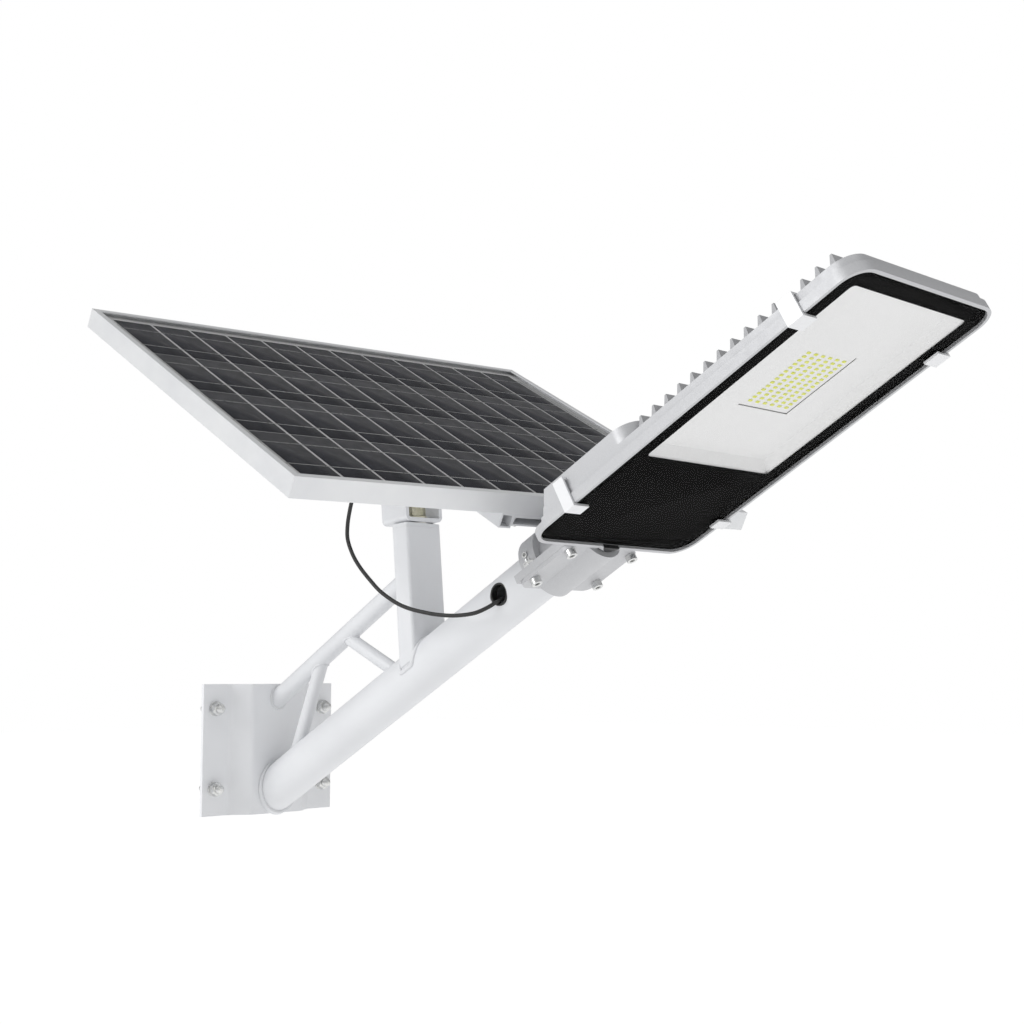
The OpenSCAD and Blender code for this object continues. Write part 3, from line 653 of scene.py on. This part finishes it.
def add_welds():
    post_down = -post_axis.normalized()
    post_outline = boxed_outline(*POST_HALF, POST_CORNER)
    brace_outline = round_outline(BRACE_RADIUS)
    strut_outline = round_outline(STRUT_RADIUS)
    add_bead("post_bead", bead_path(post_head, post_down, post_outline, to_arm), POST_BEAD)
    add_bead("brace_bead", bead_path(brace_low, brace_along, brace_outline, to_post), BRACE_BEAD)
    add_bead("foot_bead", bead_path(brace_high, -brace_along, brace_outline, to_web), FOOT_BEAD)
    struts = {"upper": (in_plane(170, 151), in_plane(275, 102)),
              "lower": (in_plane(119, 118), in_plane(65, -10))}
    for label, (high, low) in struts.items():
        along = (low - high).normalized()
        middle = (high + low) / 2
        arm_path = bead_path(middle, along, strut_outline, to_arm)
        brace_path = bead_path(middle, -along, strut_outline, to_brace)
        add_bead(label + "_arm_bead", arm_path, STRUT_BEAD)
        add_bead(label + "_brace_bead", brace_path, STRUT_BEAD)


add_welds()


# ---------- hardware ----------

def hex_reach(turn, half_flat):
    """How far a hexagon of that half width reaches at an angle."""
    sector = math.radians(60)
    return half_flat / math.cos((turn % sector) - sector / 2)


def join_sections(bm, rings):
    """Closes a turned shape by joining each cross-section to the next, all the way round."""
    for k in range(len(rings)):
        a = rings[k]
        b = rings[(k + 1) % len(rings)]
        for i in range(len(a)):
            n = (i + 1) % len(a)
            bm.faces.new((a[i], a[n], b[n], b[i]))


def nut_mesh(half_flat, height, bore, sides=72):
    """A hexagon nut with chamfered corners, round its own Z, closed all over."""
    bm = bmesh.new()
    slope = math.tan(math.radians(30))
    chamfer = 0.5
    rings = []
    for k in range(sides):
        turn = 2 * math.pi * k / sides
        reach = hex_reach(turn, half_flat)
        drop = (reach - half_flat + 0.25) * slope
        section = [(half_flat - 0.3, 0), (reach, drop), (reach, height - drop),
                   (half_flat - 0.3, height), (bore + chamfer, height), (bore, height - chamfer),
                   (bore, chamfer), (bore + chamfer, 0)]
        rings.append([bm.verts.new((r * math.cos(turn), r * math.sin(turn), z)) for r, z in section])
    join_sections(bm, rings)
    return bm


def threaded_end(radius, pitch, low, high, sides=36):
    """A screw thread from low to high with a rounded tip, closed at both ends."""
    bm = bmesh.new()
    depth = 0.55 * pitch
    steps = max(8, int((high - low) / pitch * 8))
    rings = []
    for i in range(steps + 1):
        z = low + (high - low) * i / steps
        tip = max(0.0, 1 - (high - z) / (1.5 * pitch))
        ring = []
        for k in range(sides):
            wave = abs(((z / pitch - k / sides) % 1.0) * 2 - 1)
            r = (radius - depth * wave) * (1 - 0.35 * tip * tip)
            turn = 2 * math.pi * k / sides
            ring.append(bm.verts.new((r * math.cos(turn), r * math.sin(turn), z)))
        rings.append(ring)
    for a, b in zip(rings, rings[1:]):
        for k in range(sides):
            n = (k + 1) % sides
            bm.faces.new((a[k], a[n], b[n], b[k]))
    bm.faces.new(rings[0][::-1])
    bm.faces.new(rings[-1])
    return bm


def washer_mesh(outer, bore, thickness, sides=64):
    """A stamped washer with one rolled edge."""
    roll = 0.25 * thickness
    section = [(bore, 0), (outer, 0), (outer, thickness - roll), (outer - roll, thickness),
               (bore + roll, thickness), (bore, thickness - roll)]
    bm = bmesh.new()
    rings = []
    for k in range(sides):
        turn = 2 * math.pi * k / sides
        rings.append([bm.verts.new((r * math.cos(turn), r * math.sin(turn), z)) for r, z in section])
    join_sections(bm, rings)
    return bm


def copies(make, places):
    """One bmesh of the same shape at several places, in millimetres."""
    whole = bmesh.new()
    for place in places:
        part = make()
        bmesh.ops.transform(part, matrix=place, verts=part.verts)
        mesh = bpy.data.meshes.new("part")
        part.to_mesh(mesh)
        part.free()
        whole.from_mesh(mesh)
        bpy.data.meshes.remove(mesh)
    return whole


WALL_BOLT_Y = 93
WALL_BOLT_Z = 54
PLATE_FRONT = 5
STUD_RADIUS = 5
STUD_PITCH = 1.5
STUD_ENDS = (-22, 24)


def wall_bolt_places(x):
    """Where the wall bolts stand, turned so that their axis is +X."""
    turn = Matrix.Rotation(math.radians(90), 4, "Y")
    return [Matrix.Translation((x, y, z)) @ turn
            for y in (-WALL_BOLT_Y, WALL_BOLT_Y) for z in (-WALL_BOLT_Z, WALL_BOLT_Z)]


def add_wall_hardware():
    washer = 2
    washers = copies(lambda: washer_mesh(10, 5.5, washer), wall_bolt_places(PLATE_FRONT))
    nuts = copies(lambda: nut_mesh(8.5, 8, 4.6), wall_bolt_places(PLATE_FRONT + washer))
    studs = copies(lambda: threaded_end(STUD_RADIUS, STUD_PITCH, *STUD_ENDS), wall_bolt_places(0))
    add_piece("wall_washers_skin", washers, WORLD, "bracket", "zinc", ["wall_washers"])
    add_piece("wall_nuts_skin", nuts, WORLD, "bracket", "zinc", ["wall_nuts"])
    add_piece("wall_studs_skin", studs, WORLD, "bracket", "zinc", ["wall_studs"])


def add_swivel_hardware():
    base = 0.05
    washer = 3
    add_piece("swivel_washer_skin", copies(lambda: washer_mesh(15, 8.1, washer),
              [Matrix.Translation((0, 0, base))]), POST, "bracket", "yellow_zinc", ["swivel_washer"])
    add_piece("swivel_nut_skin", copies(lambda: nut_mesh(12, 13, 7.5),
              [Matrix.Translation((0, 0, base + washer))]), POST, "bracket", "yellow_zinc", ["swivel_nut"])
    finish_node("swivel_bolt", 0.4, POST)


# The pivot bolt's thread starts inside the saddle's cheek and ends beyond its nut
PIVOT_RADIUS = 6
PIVOT_PITCH = 1.75
SADDLE_HALF = 29
THREAD_INSIDE = 12
THREAD_OUTSIDE = 14.2


def add_pivot_hardware():
    washer = 2.5
    height = (pivot - post_top).length / MM
    out = {side: Matrix.Translation((0, side * SADDLE_HALF, height))
           @ Matrix.Rotation(math.radians(-90 * side), 4, "X") for side in (-1, 1)}
    beyond = Matrix.Translation((0, 0, washer))
    add_piece("pivot_washers_skin", copies(lambda: washer_mesh(12, 6.1, washer), out.values()),
              SADDLE, "saddle", "zinc", ["pivot_washers"])
    add_piece("pivot_nut_skin", copies(lambda: nut_mesh(9.5, 10, 5.6), [out[1] @ beyond]),
              SADDLE, "saddle", "zinc", ["pivot_nut"])
    thread = threaded_end(PIVOT_RADIUS, PIVOT_PITCH, SADDLE_HALF - THREAD_INSIDE,
                          SADDLE_HALF + THREAD_OUTSIDE)
    along_pivot = (SADDLE @ Matrix.Translation((0, 0, height * MM))
                   @ Matrix.Rotation(math.radians(-90), 4, "X"))
    add_piece("pivot_thread", thread, along_pivot, "saddle", "zinc")
    finish_node("pivot_bolt", 0.4, SADDLE)


add_wall_hardware()
add_swivel_hardware()
add_pivot_hardware()


# ---------- bracket and saddle ----------

def fold_bends(node, local, radius, low, high):
    """A plate whose folds, the edges that turn between low and high degrees, are rounded."""
    bm = cad_bmesh(node, local)
    bm.normal_update()
    bends = [edge for edge in bm.edges if len(edge.link_faces) == 2
             and low < math.degrees(edge.calc_face_angle(0)) < high]
    bmesh.ops.bevel(bm, geom=bends, offset=radius, segments=5, profile=0.5, affect="EDGES",
                    clamp_overlap=True)
    return bm


def add_bracket():
    plate = fold_bends("wall_plate", WORLD, 4.0, 30, 50)
    piece = add_piece("wall_plate_skin", plate, WORLD, "bracket", "plate_paint", ["wall_plate"],
                      crease=False)
    ease_edges(piece, 0.6, 2, 50)
    for node in ("arm_tube", "arm_weld", "hole_grommet"):
        finish_node(node, 0.5, ARM, angle=40)
    for node in ("post_tube", "post_cap", "swivel_pad"):
        finish_node(node, 0.4, POST, angle=40)
    for node in ("brace_tube", "upper_strut", "lower_strut"):
        finish_node(node, 0.3, WORLD, angle=40)
    finish_node("saddle_yoke", 0.6, SADDLE, angle=40)


add_bracket()


# ---------- panel ----------

def box_mesh(bm, low, high):
    """Adds a closed box to a bmesh."""
    xs, ys, zs = zip(low, high)
    corners = [bm.verts.new((x, y, z)) for x in xs for y in ys for z in zs]
    for face in ((0, 1, 3, 2), (4, 6, 7, 5), (0, 4, 5, 1), (2, 3, 7, 6), (0, 2, 6, 4), (1, 5, 7, 3)):
        bm.faces.new([corners[i] for i in face])


def add_cell_ribbons():
    """Two tinned ribbons along each row of cells, and the cross ties at both ends."""
    bm = bmesh.new()
    top = 58.96
    thin = 0.05
    rows = 4
    row = 125
    shift = -3
    half_length = 331
    half_width = 230
    ribbon_half = 0.8
    tie_width = 4
    for i in range(rows):
        low = shift - rows * row / 2 + i * row
        for part in (0.25, 0.75):
            x = low + part * row
            box_mesh(bm, (x - ribbon_half, -half_length, top - thin),
                     (x + ribbon_half, half_length, top))
    for y in (-half_length - tie_width, half_length):
        box_mesh(bm, (shift - half_width, y, top - thin),
                 (shift + half_width, y + tie_width, top))
    return add_piece("cell_ribbons", bm, PANEL, "panel", "zinc", crease=False)


def add_panel():
    for node in ("frame_low", "frame_high", "frame_left", "frame_right"):
        finish_node(node, 0.35, PANEL, angle=40)
    for node in ("corner_keys", "panel_backsheet", "pivot_lugs", "pivot_spacer", "panel_rail",
                 "rail_end_channels", "rail_bolts", "junction_box", "junction_lid", "cable_gland"):
        finish_node(node, 0.4, PANEL, angle=40)
    finish_node("panel_glass", 0.3, PANEL, angle=40)
    finish_node("solar_cells", 0, PANEL)
    add_cell_ribbons()


add_panel()


# ---------- lamp head ----------

def add_head():
    finish_node("head_housing", 0.8, ARM, angle=38)
    finish_node("clamp_cover", 0.8, ARM, angle=38)
    for node in ("clamp_bolts", "clamp_nuts", "set_screws", "side_clips", "clip_screws", "rear_plug"):
        finish_node(node, 0.35, ARM, angle=40)
    for node in ("glass_gasket", "reflector_tray", "led_board", "battery_tray", "charge_controller",
                 "battery_cells"):
        finish_node(node, 0.3, ARM, angle=40)
    finish_node("front_glass", 0.4, ARM, angle=40)
    finish_node("glass_mask", 0, ARM)
    finish_node("led_chips", 0.25, ARM, angle=40)


add_head()
